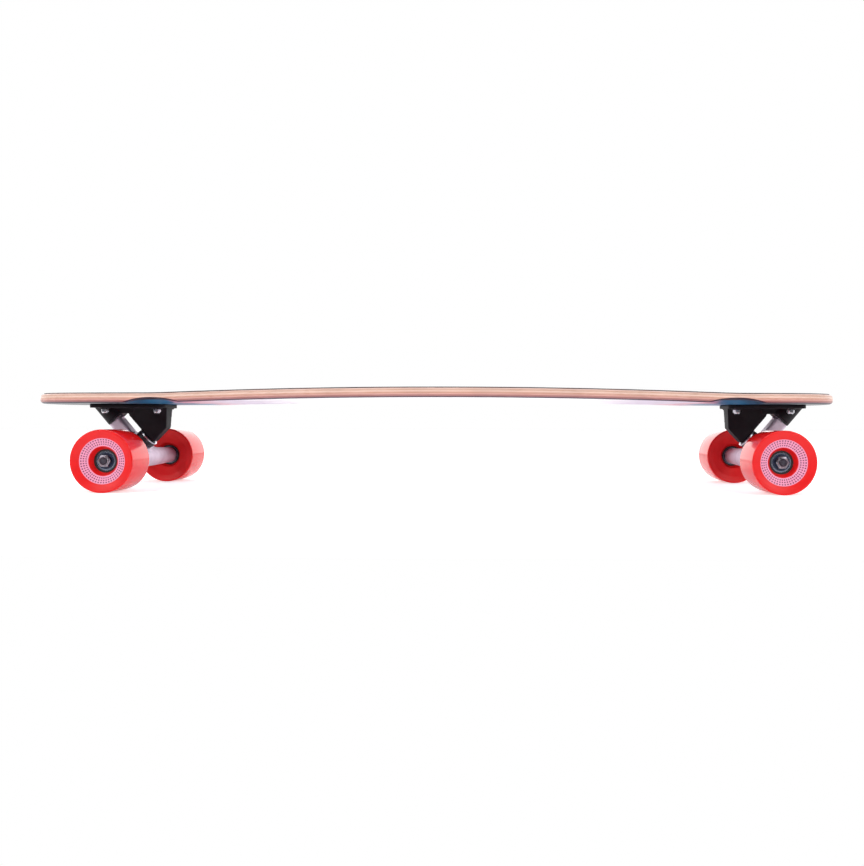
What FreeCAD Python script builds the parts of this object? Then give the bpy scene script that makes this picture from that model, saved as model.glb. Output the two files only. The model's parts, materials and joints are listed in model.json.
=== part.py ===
"""Longboard skateboard: a cambered wooden deck on two sprung trucks with four soft wheels.

Frame: +X is the front, +Y the left side, +Z up. The origin is on the ground, under the
middle of the board's length. All sizes are in millimetres.
"""
import FreeCAD, Part
import math
import os

from FreeCAD import Rotation, Vector

# ---- Deck ----
wheelbase = 744.0            # axle to axle
front_overhang = 90.0        # axle to the front tip
rear_overhang = 117.0        # axle to the rear tip
deck_width = 236.0           # at the middle
truck_width = 162.0          # deck width just outboard of the trucks
tip_width = 114.0            # deck width where the tips start to close
tip_depth = 34.0             # from there to the tip
belly_fall = 0.34            # share of the taper that is reached halfway to the trucks
tip_fullness = 0.75          # how square the tips are
shoulder_flare = 4.0         # outline's control point past the deck's width at the trucks
shoulder_place = 0.95        # control points along the outline, as shares of the way to the axle
belly_place = 0.58
middle_place = 0.25
deck_thickness = 11.2
rail_radius = 4.4            # rounding of the deck's edges
camber = 5.7                 # rise of the underside at the middle
camber_blend_radius = 500.0  # easing between the camber and the flat mounting zones
flat_margin = 3.0            # flat deck left inboard of each baseplate
grip_thickness = 0.8
grip_inset = 3.4             # grip tape edge from the deck's edge
well_length = 64.0           # wheel wells in the underside rails
well_depth = 6.0
well_reach = 42.0            # how far a well runs in from the rail
well_inboard = 39.5          # well centre from the axle, towards the middle
well_outboard = 8.0          # well's deep end past the deck's width at the trucks

# ---- Mounting hardware ----
bolt_spacing_x = 63.5
bolt_spacing_y = 41.3
bolt_offset = 8.5            # pattern centre outboard of the axle
bolt_radius = 2.4
bolt_clearance = 0.25
bolt_head_radius = 4.6
bolt_head_height = 2.8
bolt_tail = 1.2              # thread showing past the nut
bolt_socket_flats = 3.2
bolt_socket_depth = 1.8
grip_hole_clearance = 0.1
nut_flats = 8.0
nut_height = 5.0
nut_collar_height = 1.1
collar_share = 0.43          # a lock nut's collar radius, as a share of its width across flats

# ---- Trucks ----
truck_height = 65.0          # underside of the deck from the axle
lean_axis_angle = 50.0       # lean axis above the horizontal
lean_limit = 15.0            # degrees each way, which the pockets have to clear
ring_from_pivot = 42.0       # kingpin centre from the pivot, along the lean axis
axle_from_ring = 15.8        # axle from the kingpin, along the lean axis
axle_drop = 7.7              # axle from the lean axis, on the road side
flange_inboard = 33.5
flange_outboard = 58.5
flange_width = 57.0
flange_thickness = 4.5
flange_corner = 9.0
tower_width = 22.0
tower_tip_width = 14.0
tower_face_draft = 1.5       # how far its inboard face leans inboard, up to the flange
tower_inboard = 30.2         # tower's inboard face from the axle
tower_toe = 10.4             # tower's tip past the kingpin, along the lean axis
tower_heel = 33.0            # seat face before the kingpin, along the lean axis
tower_knee = 0.9             # slope of the face above the tower's tip, as a share of the lean axis's
tower_draft = 3.5            # how far the tower's heel spreads up to the flange
tower_round = 3.0
boss_radius = 15.0           # pivot boss on the baseplate
rib_width = 24.0             # rib that ties the boss to the tower
rib_height = 6.5
rib_lap = 6.0                # how far the rib runs into the tower
pad_radius = 6.2             # raised pads under the mounting nuts
pad_height = 1.5
pivot_radius = 5.5
pivot_depth = 11.0
pivot_clearance = 0.08
cup_wall = 2.5
hanger_width = 180.0
hanger_end_radius = 9.8
hanger_mid_radius = 11.6
hanger_taper = 24.0          # half-length of the hanger's thick middle
ring_radius = 15.5
ring_thickness = 9.0
ring_bore = 7.5
arm_width = 20.0
arm_gap = 2.0                # between the boss and the pivot arm
arm_tower_side = 3.2
arm_road_side = 13.0
arm_round = 3.0
casting_lap = 2.0            # overlap of the hanger's joined masses
web_half_width = 46.0        # where the hanger's web meets its tube
web_share = 0.75             # web's thickness as a share of the tube's
web_lap = 4.0                # how far the web runs into the ring
kingpin_radius = 4.7
kingpin_grip = 22.0          # length of kingpin pressed into the tower
kingpin_tail = 2.2
kingpin_nut_flats = 14.3
kingpin_nut_height = 7.0
kingpin_nut_collar = 1.8
bushing_radius = 12.0
bushing_height = 7.6
road_bushing_radius = 10.8
road_bushing_tip = 9.4
road_bushing_height = 9.4
cup_washer_height = 1.5
cup_washer_lip = 0.6         # washer past its bushing
seat_gap = 0.12              # bushing to hanger at rest
pocket_clearance = 0.6       # hanger pocket round the road-side bushing
pocket_margin = 3.0          # pocket past the bushing, towards the pivot
seat_margin = 4.0            # metal cleared above the ring, past the bushing

# ---- Axles, wheels and bearings ----
axle_radius = 3.97
axle_nut_flats = 12.7
axle_nut_height = 6.5
axle_nut_collar = 1.6
axle_tail = 1.6
axle_chamfer = 0.6
washer_radius = 5.6
washer_thickness = 1.0
wheel_radius = 35.0
wheel_width = 52.0
wheel_lip = 1.5              # rounding between the wheel's faces and its tread
rim_width = 2.0              # flat rim at the tread, before the faces slope in to the hub's mouth
hub_mouth_radius = 16.0
hub_mouth_depth = 6.7        # mouth in from the wheel's face
mouth_round = 0.8
core_radius = 13.0
core_length = 26.0
core_shoulder_radius = 9.4
spacer_length = 10.0
spacer_radius = 5.4
bearing_radius = 11.0
bearing_width = 7.0
inner_race_radius = 5.75
outer_race_wall = 1.75
ball_radius = 1.9845
ball_count = 7
groove_clearance = 0.06      # ball to raceway
ball_pocket_clearance = 0.05
cage_thickness = 1.3
cage_width = 4.9
seal_thickness = 0.5
seal_clearance = 0.1
seal_inset = 0.3             # seal in from the bearing's face

# ---- Working sizes ----
through = 100.0              # long enough to cut right through any truck piece or the deck
margin = 20.0                # spare length and width on a blank before it is cut to shape
start_before = 1.0           # a cut starts this far outside the face that it enters
tiny = 0.01

# ---- Worked out from the sizes above ----
X_AXIS = Vector(1, 0, 0)
Y_AXIS = Vector(0, 1, 0)
Z_AXIS = Vector(0, 0, 1)
half_base = wheelbase / 2
axles_forward = (rear_overhang - front_overhang) / 2    # from mid-length to midway between the axles
axle_height = wheel_radius
dish_radius = wheel_radius - rim_width
ride_height = axle_height + truck_height                # underside of the deck at the trucks
deck_top = ride_height + deck_thickness
grip_top = deck_top + grip_thickness
flange_bottom = ride_height - flange_thickness
nut_seat = flange_bottom - pad_height
bearing_stack = 2 * bearing_width + spacer_length
wheel_centre = hanger_width / 2 + washer_thickness + bearing_stack / 2
pitch_radius = (bearing_radius - outer_race_wall + inner_race_radius) / 2
lean = math.radians(lean_axis_angle)
along = Vector(-math.cos(lean), 0, -math.sin(lean))     # lean axis, from the pivot to the ring
road = Vector(math.sin(lean), 0, -math.cos(lean))       # kingpin, from the board to the road
axle_centre = Vector(0, 0, axle_height)
ring_centre = axle_centre - along * axle_from_ring - road * axle_drop
pivot_centre = ring_centre - along * ring_from_pivot
seat_distance = ring_thickness / 2 + seat_gap + bushing_height + cup_washer_height
road_face = ring_thickness / 2 + seat_gap
ends = {"front": 1, "rear": -1}
sides = {"left": 1, "right": -1}


# ---- Small helpers ----
def cylinder(radius, height, base, direction):
    return Part.makeCylinder(radius, height, base, direction)


def tube(outer, inner, height, base, direction):
    hole = Part.makeCylinder(inner, height + 2 * start_before, base - direction * start_before, direction)
    return cylinder(outer, height, base, direction).cut(hole)


def centred_box(length, width, height, centre):
    corner = centre - Vector(length / 2, width / 2, height / 2)
    return Part.makeBox(length, width, height, corner)


def prism(points, direction):
    """A solid from a closed outline of points, extruded along a vector."""
    wire = Part.makePolygon(list(points) + [points[0]])
    return Part.Face(wire).extrude(direction)


def hexagon(flats, height, base, direction):
    """A hexagonal prism standing on base, along direction."""
    corner = flats / math.sqrt(3)
    turn = Rotation(Z_AXIS, direction)
    points = []
    for step in range(6):
        angle = math.radians(60 * step)
        points.append(base + turn.multVec(Vector(corner * math.cos(angle), corner * math.sin(angle), 0)))
    return prism(points, direction * height)


def turned(points, direction=Y_AXIS):
    """A solid of revolution about Y, from (radius, place along Y) points."""
    corners = [Vector(radius, place, 0) for radius, place in points]
    face = Part.Face(Part.makePolygon(corners + [corners[0]]))
    return face.revolve(Vector(0, 0, 0), direction, 360)


def truck_point(s, y, t):
    """A point s past the kingpin along the lean axis, and t to the road side of it."""
    return ring_centre + along * s + road * t + Y_AXIS * y


def truck_block(s_range, y_half, t_range):
    """A block that is square to the lean axis and the kingpin."""
    s0, s1 = s_range
    t0, t1 = t_range
    corners = [truck_point(s, -y_half, t) for s, t in ((s0, t0), (s1, t0), (s1, t1), (s0, t1))]
    return prism(corners, Y_AXIS * (2 * y_half))


def put_truck(shape, end):
    """Moves a truck piece from its own axle to the front or rear axle of the board."""
    moved = shape.copy()
    if ends[end] < 0:
        moved.rotate(Vector(0, 0, 0), Z_AXIS, 180)
    moved.translate(X_AXIS * (ends[end] * half_base))
    return moved


def put_wheel(shape, end, side):
    """Moves a wheel piece, made about the origin with +Y outboard, to its corner of the board."""
    moved = shape.copy()
    if sides[side] < 0:
        moved.rotate(Vector(0, 0, 0), Z_AXIS, 180)
    moved.translate(Vector(ends[end] * half_base, sides[side] * wheel_centre, axle_height))
    return moved


def both_bearings(shape):
    """Copies of a bearing piece, made about the origin, at a wheel's two bearing places."""
    offset = (spacer_length + bearing_width) / 2
    copies = []
    for sign in (-1, 1):
        copy = shape.copy()
        copy.translate(Y_AXIS * (sign * offset))
        copies.append(copy)
    return copies


def bolt_places():
    """The four bolt axes of a truck, in the truck's own frame."""
    for sx in (-1, 1):
        for sy in (-1, 1):
            yield bolt_offset + sx * bolt_spacing_x / 2, sy * bolt_spacing_y / 2


def deck_bolt_places():
    for sign in ends.values():
        for x, y in bolt_places():
            yield sign * (half_base + x), y


# ---- Deck and grip tape ----
def outline_face(inset):
    """The deck's outline seen from above, at z = 0, drawn in by inset all round."""
    front = half_base + front_overhang - inset
    rear = half_base + rear_overhang - inset
    middle = deck_width / 2 - inset
    shoulder = truck_width / 2 - inset
    tip = tip_width / 2 - inset
    belly = middle - (deck_width - truck_width) / 2 * belly_fall
    forward = [Vector(front, 0, 0), Vector(front, tip * tip_fullness, 0),
               Vector(front - tip_depth, shoulder, 0),
               Vector(half_base * shoulder_place, shoulder + shoulder_flare, 0),
               Vector(half_base * belly_place, belly, 0), Vector(half_base * middle_place, middle, 0)]
    aft = [Vector(-(rear - (front - p.x)) if p.x > half_base else -p.x, p.y, 0) for p in forward]
    left = forward + [Vector(0, middle, 0)] + aft[::-1]
    right = [Vector(p.x, -p.y, 0) for p in reversed(left)]
    edges = []
    for poles in (left, right):
        curve = Part.BSplineCurve()
        curve.buildFromPoles(poles, False, 3)
        edges.append(curve.toShape())
    return Part.Face(Part.Wire(edges))


def mirrored(point):
    """The point on the other side of the board's middle, fore and aft."""
    return Vector(-point.x, point.y, point.z)


def camber_edges(offset):
    """The deck's side profile, offset above its underside: flat, blend, camber, blend, flat."""
    reach = half_base + max(front_overhang, rear_overhang) + margin
    flat_from = half_base - flange_inboard - flat_margin
    radii = (flat_from ** 2 + camber ** 2) / (2 * camber)
    camber_radius = radii - camber_blend_radius
    tilt = math.asin(flat_from / radii)
    level = ride_height + offset
    top = level + camber
    big = camber_radius + offset
    small = camber_blend_radius - offset
    centre = Vector(0, 0, top - big)
    join = centre + Vector(big * math.sin(tilt), 0, big * math.cos(tilt))
    flat_end = Vector(flat_from, 0, level)
    blend_centre = flat_end + Z_AXIS * small
    half = tilt / 2
    blend_mid = blend_centre - Vector(small * math.sin(half), 0, small * math.cos(half))
    return [
        Part.makeLine(Vector(-reach, 0, level), mirrored(flat_end)),
        Part.Arc(mirrored(flat_end), mirrored(blend_mid), mirrored(join)).toShape(),
        Part.Arc(mirrored(join), Vector(0, 0, top), join).toShape(),
        Part.Arc(join, blend_mid, flat_end).toShape(),
        Part.makeLine(flat_end, Vector(reach, 0, level)),
    ]


def cambered_slab(low, high):
    """A wide slab that follows the camber, from low to high above the deck's underside."""
    bottom = camber_edges(low)
    top = camber_edges(high)
    first = Part.makeLine(bottom[0].Vertexes[0].Point, top[0].Vertexes[0].Point)
    last = Part.makeLine(bottom[-1].Vertexes[-1].Point, top[-1].Vertexes[-1].Point)
    wire = Part.Wire(Part.__sortEdges__(bottom + [last] + top + [first]))
    breadth = deck_width + 2 * margin
    slab = Part.Face(wire).extrude(Y_AXIS * breadth)
    slab.translate(Y_AXIS * (-breadth / 2))
    return slab


def deck_blank(low, high, inset):
    """The cambered slab cut to the outline."""
    column = outline_face(inset).extrude(Z_AXIS * (ride_height + camber + through))
    return cambered_slab(low, high).common(column)


def wheel_well(x, side):
    """A drum that cuts one shallow wheel well into the underside of a rail."""
    radius = ((well_length / 2) ** 2 + well_depth ** 2) / (2 * well_depth)
    outer = truck_width / 2 + well_outboard
    rail = Vector(x, side * outer, ride_height + well_depth)
    inner = Vector(x, side * (outer - well_reach), ride_height)
    run = (rail - inner).normalize()
    drop = Vector(0, run.z, -run.y) * side
    start = inner - run * margin + drop * radius
    return cylinder(radius, well_reach + through, start, run)


def make_deck():
    blank = deck_blank(0, deck_thickness, 0)
    rails = [edge for edge in blank.Edges if is_rail(edge)]
    deck = blank.makeFillet(rail_radius, rails)
    cuts = []
    for end in ends.values():
        for side in sides.values():
            cuts.append(wheel_well(end * (half_base - well_inboard), side))
    for x, y in deck_bolt_places():
        base = Vector(x, y, ride_height - start_before)
        cuts.append(cylinder(bolt_radius + bolt_clearance, through, base, Z_AXIS))
        cone_base = Vector(x, y, grip_top - bolt_head_height)
        cuts.append(Part.makeCone(bolt_radius, bolt_head_radius, bolt_head_height, cone_base, Z_AXIS))
    return deck.cut(cuts)


def is_rail(edge):
    """True for the edges between the deck's rails and its top or underside, which all run fore and aft."""
    return edge.BoundBox.XLength > deck_thickness


def make_grip_tape():
    grip = deck_blank(deck_thickness, deck_thickness + grip_thickness, grip_inset)
    cuts = []
    for x, y in deck_bolt_places():
        base = Vector(x, y, deck_top - start_before)
        cuts.append(cylinder(bolt_head_radius + grip_hole_clearance, through, base, Z_AXIS))
    return grip.cut(cuts)


# ---- Mounting hardware ----
def make_mounting_bolt():
    head_base = Vector(0, 0, grip_top - bolt_head_height)
    tail = nut_seat - nut_height - bolt_tail
    shank = cylinder(bolt_radius, head_base.z - tail, Vector(0, 0, tail), Z_AXIS)
    head = Part.makeCone(bolt_radius, bolt_head_radius, bolt_head_height, head_base, Z_AXIS)
    socket = hexagon(bolt_socket_flats, bolt_head_height, Vector(0, 0, grip_top - bolt_socket_depth), Z_AXIS)
    return shank.fuse(head).cut(socket).removeSplitter()


def lock_nut(flats, height, collar_height, bore_radius, base, direction):
    """A hexagonal nut standing on base, with the round collar of its lock ring on top."""
    body = hexagon(flats, height - collar_height, base, direction)
    collar = cylinder(flats * collar_share, height, base, direction)
    bore = cylinder(bore_radius, height + 2 * start_before, base - direction * start_before, direction)
    return body.fuse(collar).cut(bore).removeSplitter()


def make_mounting_nut():
    return lock_nut(nut_flats, nut_height, nut_collar_height, bolt_radius, Vector(0, 0, nut_seat), -Z_AXIS)


def make_hardware(shape, end):
    pieces = []
    for x, y in bolt_places():
        piece = shape.copy()
        piece.translate(Vector(x, y, 0))
        pieces.append(put_truck(piece, end))
    return Part.makeCompound(pieces)


# ---- Baseplate ----
def make_baseplate():
    flange = centred_box(
        flange_inboard + flange_outboard, flange_width, flange_thickness,
        Vector((flange_outboard - flange_inboard) / 2, 0, ride_height - flange_thickness / 2))
    corners = [e for e in flange.Edges if abs(e.Vertexes[0].Z - e.Vertexes[1].Z) > flange_thickness / 2]
    flange = flange.makeFillet(flange_corner, corners)
    boss = cylinder(boss_radius, through, pivot_centre, -along)
    mid_flange = flange_bottom + flange_thickness / 2
    above = centred_box(4 * through, 4 * through, 2 * through, Vector(0, 0, mid_flange + through))
    pads = [cylinder(pad_radius, pad_height, Vector(x, y, nut_seat), Z_AXIS) for x, y in bolt_places()]
    plate = flange.fuse([make_tower().cut(above), boss.cut(above), make_rib()] + pads)
    cuts = [cylinder(pivot_radius + cup_wall, pivot_depth + cup_wall, pivot_centre, -along),
            cylinder(kingpin_radius, kingpin_grip + margin, truck_point(0, 0, margin - seat_distance), -road)]
    for x, y in bolt_places():
        base = Vector(x, y, nut_seat - start_before)
        cuts.append(cylinder(bolt_radius + bolt_clearance, through, base, Z_AXIS))
    return plate.cut(cuts).removeSplitter()


def make_rib():
    """The rib under the flange that ties the tower to the boss."""
    heel = truck_point(-tower_heel, 0, -seat_distance)
    start = heel.x - rib_lap
    end = pivot_centre.x + boss_radius / math.sin(lean) / 2
    corner = Vector(start, -rib_width / 2, flange_bottom - rib_height)
    return Part.makeBox(end - start, rib_width, rib_height + flange_thickness / 2, corner)


def make_tower():
    """The block that holds the kingpin, with its seat face square to the kingpin."""
    toe = truck_point(tower_toe, 0, -seat_distance)
    heel = truck_point(-tower_heel, 0, -seat_distance)
    knee = Vector(-tower_inboard, 0, toe.z + (toe.x + tower_inboard) * math.tan(lean) * tower_knee)
    top = flange_bottom + flange_thickness
    inboard = -tower_inboard - tower_face_draft
    outline = [Vector(inboard, 0, top), knee, toe, heel, Vector(heel.x + tower_draft, 0, top)]
    points = [p - Y_AXIS * (tower_width / 2) for p in outline]
    block = prism(points, Y_AXIS * tower_width)
    half_top, half_tip, low = tower_width / 2, tower_tip_width / 2, toe.z - start_before
    drafted = [Vector(inboard - margin, y, z)
               for y, z in ((-half_top, top), (half_top, top), (half_tip, low), (-half_tip, low))]
    block = block.common(prism(drafted, X_AXIS * through))
    lengthwise = [e for e in block.Edges if abs(e.Vertexes[0].Y - e.Vertexes[1].Y) > tower_tip_width / 2
                  and e.BoundBox.ZMax < flange_bottom]
    return block.makeFillet(tower_round, lengthwise)


# ---- Truck internals ----
def make_pivot_cup():
    cup = cylinder(pivot_radius + cup_wall, pivot_depth + cup_wall, pivot_centre, -along)
    room = pivot_radius + pivot_clearance
    bore = cylinder(room, pivot_depth - pivot_radius, pivot_centre, -along)
    end = Part.makeSphere(room, pivot_centre - along * (pivot_depth - pivot_radius))
    return cup.cut([bore, end])


def make_kingpin():
    """A stud that is pressed into the tower at one end and threaded for its nut at the other."""
    start = -(seat_distance + kingpin_grip)
    tail = road_face + road_bushing_height + cup_washer_height + kingpin_nut_height + kingpin_tail
    return cylinder(kingpin_radius, tail - start, truck_point(0, 0, start), road)


def make_kingpin_nut():
    base = truck_point(0, 0, road_face + road_bushing_height + cup_washer_height)
    return lock_nut(kingpin_nut_flats, kingpin_nut_height, kingpin_nut_collar, kingpin_radius, base, road)


def make_board_bushing():
    base = truck_point(0, 0, -(ring_thickness / 2 + seat_gap))
    return tube(bushing_radius, kingpin_radius, bushing_height, base, -road)


def make_road_bushing():
    base = truck_point(0, 0, road_face)
    cone = Part.makeCone(road_bushing_radius, road_bushing_tip, road_bushing_height, base, road)
    return cone.cut(cylinder(kingpin_radius, through, truck_point(0, 0, 0), road))


def make_bushing_washers():
    board = tube(bushing_radius + cup_washer_lip, kingpin_radius, cup_washer_height,
                 truck_point(0, 0, -seat_distance), road)
    lower = tube(road_bushing_tip + cup_washer_lip, kingpin_radius, cup_washer_height,
                 truck_point(0, 0, road_face + road_bushing_height), road)
    return Part.makeCompound([board, lower])


# ---- Hanger ----
def make_hanger():
    half = hanger_width / 2
    profile = [Vector(0, -half, 0), Vector(hanger_end_radius, -half, 0),
               Vector(hanger_mid_radius, -hanger_taper, 0), Vector(hanger_mid_radius, hanger_taper, 0),
               Vector(hanger_end_radius, half, 0), Vector(0, half, 0)]
    body = Part.Face(Part.makePolygon(profile + [profile[0]])).revolve(Vector(0, 0, 0), Y_AXIS, 360)
    body.translate(axle_centre)
    ring = cylinder(ring_radius, ring_thickness, truck_point(0, 0, -ring_thickness / 2), road)
    arm_start = -ring_from_pivot + arm_gap
    arm = truck_block((arm_start, 0), arm_width / 2, (-arm_tower_side, arm_road_side))
    arm_length = ring_from_pivot - arm_gap
    arm = arm.makeFillet(arm_round, [e for e in arm.Edges if abs(e.Length - arm_length) < tiny])
    nose_start = arm_gap + casting_lap
    nose = cylinder(pivot_radius, pivot_depth - pivot_radius + nose_start,
                    pivot_centre + along * nose_start, -along)
    tip = Part.makeSphere(pivot_radius, pivot_centre - along * (pivot_depth - pivot_radius))
    casting = body.fuse([ring, arm, make_web(), nose, tip])
    return casting.cut(hanger_cuts()).removeSplitter()


def make_web():
    """The tapering web between the ring and the tube, flat on both faces."""
    low = axle_drop - hanger_mid_radius * web_share
    high = axle_drop + hanger_mid_radius * web_share
    outline = [(-web_lap, -ring_radius), (axle_from_ring, -web_half_width),
               (axle_from_ring, web_half_width), (-web_lap, ring_radius)]
    points = [truck_point(s, y, low) for s, y in outline]
    return prism(points, road * (high - low))


def hanger_cuts():
    """The kingpin hole, the pocket round the road-side bushing and nut, and the axle's bore."""
    hole = cylinder(ring_bore, 2 * through, truck_point(0, 0, -through), road)
    reach = road_bushing_radius + pocket_clearance
    swing = arm_road_side + hanger_mid_radius
    half_pocket = reach + swing * math.sin(math.radians(lean_limit))
    pocket = truck_block((-reach - pocket_margin, reach), half_pocket, (ring_thickness / 2, through))
    bore_start = axle_centre - Y_AXIS * (hanger_width / 2 + start_before)
    bore = cylinder(axle_radius, hanger_width + 2 * start_before, bore_start, Y_AXIS)
    board_side = truck_block((-bushing_radius - seat_margin, through), half_pocket,
                             (-through, -ring_thickness / 2))
    return [hole, pocket, bore, board_side]


# ---- Axle and its hardware ----
def make_axle():
    half = hanger_width / 2 + bearing_stack + 2 * washer_thickness + axle_nut_height + axle_tail
    rod = cylinder(axle_radius, 2 * half, axle_centre - Y_AXIS * half, Y_AXIS)
    ends_of_rod = [e for e in rod.Edges if e.Closed]
    return rod.makeChamfer(axle_chamfer, ends_of_rod)


def on_both_ends(shape):
    """A piece made for the left end of an axle, and its mirror image on the right."""
    return [shape, shape.mirror(Vector(0, 0, 0), Y_AXIS)]


def make_axle_nuts():
    start = hanger_width / 2 + bearing_stack + 2 * washer_thickness
    nut = lock_nut(axle_nut_flats, axle_nut_height, axle_nut_collar, axle_radius,
                   axle_centre + Y_AXIS * start, Y_AXIS)
    return Part.makeCompound(on_both_ends(nut))


def make_speed_washers():
    pieces = []
    for start in (hanger_width / 2, hanger_width / 2 + washer_thickness + bearing_stack):
        washer = tube(washer_radius, axle_radius, washer_thickness, axle_centre + Y_AXIS * start, Y_AXIS)
        pieces += on_both_ends(washer)
    return Part.makeCompound(pieces)


def make_bearing_spacers():
    start = hanger_width / 2 + washer_thickness + bearing_width
    spacer = tube(spacer_radius, axle_radius, spacer_length, axle_centre + Y_AXIS * start, Y_AXIS)
    return Part.makeCompound(on_both_ends(spacer))


def raceway():
    """The ring-shaped groove that a row of balls runs in."""
    return Part.makeTorus(pitch_radius, ball_radius + groove_clearance, Vector(0, 0, 0), Y_AXIS)


def make_inner_races():
    race = tube(inner_race_radius, axle_radius, bearing_width, Y_AXIS * (-bearing_width / 2), Y_AXIS)
    race = race.cut(raceway())
    pieces = []
    for side in sides.values():
        for piece in both_bearings(race):
            piece.translate(axle_centre + Y_AXIS * (side * wheel_centre))
            pieces.append(piece)
    return Part.makeCompound(pieces)


# ---- Wheel ----
def make_tyre():
    half = wheel_width / 2
    outer_face = [(core_radius, core_length / 2), (hub_mouth_radius, half - hub_mouth_depth),
                  (dish_radius, half), (wheel_radius, half)]
    inner_face = [(radius, -place) for radius, place in reversed(outer_face)]
    tyre = turned(outer_face + inner_face)
    tyre = tyre.makeFillet(wheel_lip, rims(tyre, wheel_radius))
    return tyre.makeFillet(mouth_round, rims(tyre, hub_mouth_radius))


def rims(shape, radius):
    """The circles of that radius among the edges of a shape turned about Y."""
    return [e for e in shape.Edges if e.Closed and abs(e.BoundBox.XMax - radius) < tiny]


def make_core():
    half = core_length / 2
    shoulder = spacer_length / 2
    points = [(core_radius, -half), (core_radius, half), (bearing_radius, half), (bearing_radius, shoulder),
              (core_shoulder_radius, shoulder), (core_shoulder_radius, -shoulder),
              (bearing_radius, -shoulder), (bearing_radius, -half)]
    return turned(points)


def make_outer_races():
    inner = bearing_radius - outer_race_wall
    race = tube(bearing_radius, inner, bearing_width, Y_AXIS * (-bearing_width / 2), Y_AXIS)
    return Part.makeCompound(both_bearings(race.cut(raceway())))


def make_seals():
    outer = bearing_radius - outer_race_wall
    inner = inner_race_radius + seal_clearance
    face = bearing_width / 2
    pieces = []
    for start in (seal_inset - face, face - seal_inset - seal_thickness):
        pieces += both_bearings(tube(outer, inner, seal_thickness, Y_AXIS * start, Y_AXIS))
    return Part.makeCompound(pieces)


def ball_places():
    for step in range(ball_count):
        angle = 2 * math.pi * (step + 0.5) / ball_count
        yield Vector(pitch_radius * math.cos(angle), 0, pitch_radius * math.sin(angle))


def make_balls():
    pieces = []
    for place in ball_places():
        pieces += both_bearings(Part.makeSphere(ball_radius, place))
    return Part.makeCompound(pieces)


def make_cages():
    ring = tube(pitch_radius + cage_thickness / 2, pitch_radius - cage_thickness / 2, cage_width,
                Y_AXIS * (-cage_width / 2), Y_AXIS)
    pockets = [cylinder(ball_radius + ball_pocket_clearance, pitch_radius, place * 0.5, place)
               for place in ball_places()]
    return Part.makeCompound(both_bearings(ring.cut(pockets)))


# ---- Build and export ----
def build():
    """Every node's shape, with x = 0 midway between the axles."""
    nodes = {"deck": make_deck(), "grip_tape": make_grip_tape()}
    truck = {
        "baseplate": make_baseplate(),
        "pivot_cup": make_pivot_cup(),
        "kingpin": make_kingpin(),
        "kingpin_nut": make_kingpin_nut(),
        "board_bushing": make_board_bushing(),
        "road_bushing": make_road_bushing(),
        "bushing_washers": make_bushing_washers(),
        "hanger": make_hanger(),
        "axle": make_axle(),
        "axle_nuts": make_axle_nuts(),
        "speed_washers": make_speed_washers(),
        "bearing_spacers": make_bearing_spacers(),
        "inner_races": make_inner_races(),
    }
    wheel = {
        "tyre": make_tyre(),
        "core": make_core(),
        "outer_races": make_outer_races(),
        "seals": make_seals(),
        "balls": make_balls(),
        "cages": make_cages(),
    }
    bolt = make_mounting_bolt()
    nut = make_mounting_nut()
    for end in ends:
        nodes[f"{end}_mounting_bolts"] = make_hardware(bolt, end)
        nodes[f"{end}_mounting_nuts"] = make_hardware(nut, end)
        for name, shape in truck.items():
            nodes[f"{end}_{name}"] = put_truck(shape, end)
        for side in sides:
            for name, shape in wheel.items():
                nodes[f"{end}_{side}_{name}"] = put_wheel(shape, end, side)
    return nodes


def export(nodes):
    os.makedirs("parts", exist_ok=True)
    for name, shape in nodes.items():
        solids = shape.Solids
        if not solids or not all(solid.isValid() for solid in solids):
            raise RuntimeError(f"{name} is not a sound solid")
        piece = solids[0] if len(solids) == 1 else Part.makeCompound(solids)
        piece.translate(X_AXIS * axles_forward)
        piece.exportStep(f"parts/{name}.step")
        box = piece.optimalBoundingBox(False)
        print(f"{name}: {len(solids)} solids, {piece.Volume / 1000:.2f} cm3,"
              f" x {box.XMin:.1f}..{box.XMax:.1f}, y {box.YMin:.1f}..{box.YMax:.1f},"
              f" z {box.ZMin:.1f}..{box.ZMax:.1f}")


export(build())
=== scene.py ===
"""Longboard skateboard: finishes for the deck, cast trucks, soft urethane wheels and their hardware."""
import json
import math

import bpy
from mathutils import Matrix, Vector


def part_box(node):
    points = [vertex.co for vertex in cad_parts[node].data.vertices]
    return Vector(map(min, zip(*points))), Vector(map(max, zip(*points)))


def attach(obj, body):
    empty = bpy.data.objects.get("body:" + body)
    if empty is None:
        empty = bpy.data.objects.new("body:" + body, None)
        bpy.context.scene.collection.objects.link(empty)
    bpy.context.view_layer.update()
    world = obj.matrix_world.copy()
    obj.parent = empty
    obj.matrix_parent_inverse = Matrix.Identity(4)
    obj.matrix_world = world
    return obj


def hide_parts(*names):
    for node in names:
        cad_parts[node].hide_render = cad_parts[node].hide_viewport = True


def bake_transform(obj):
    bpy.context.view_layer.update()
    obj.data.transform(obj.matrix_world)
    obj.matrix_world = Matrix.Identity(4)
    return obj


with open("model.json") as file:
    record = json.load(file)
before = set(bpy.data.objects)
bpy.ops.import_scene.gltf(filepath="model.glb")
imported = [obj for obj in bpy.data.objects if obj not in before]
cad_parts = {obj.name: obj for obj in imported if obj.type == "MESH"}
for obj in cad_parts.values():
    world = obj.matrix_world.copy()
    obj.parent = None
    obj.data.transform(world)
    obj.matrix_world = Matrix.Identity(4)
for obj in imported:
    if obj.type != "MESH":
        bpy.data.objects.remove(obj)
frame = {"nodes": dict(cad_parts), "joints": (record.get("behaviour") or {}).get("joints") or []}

bl_info = {
    "name": "Longboard skateboard",
    "version": (1, 0, 0),
    "blender": (4, 5, 0),
    "location": "View3D > Sidebar > Skateboard",
    "description": "Cast wheels and trucks, lock nuts, bushings and finishes for a cambered longboard",
    "category": "Object",
}

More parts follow.
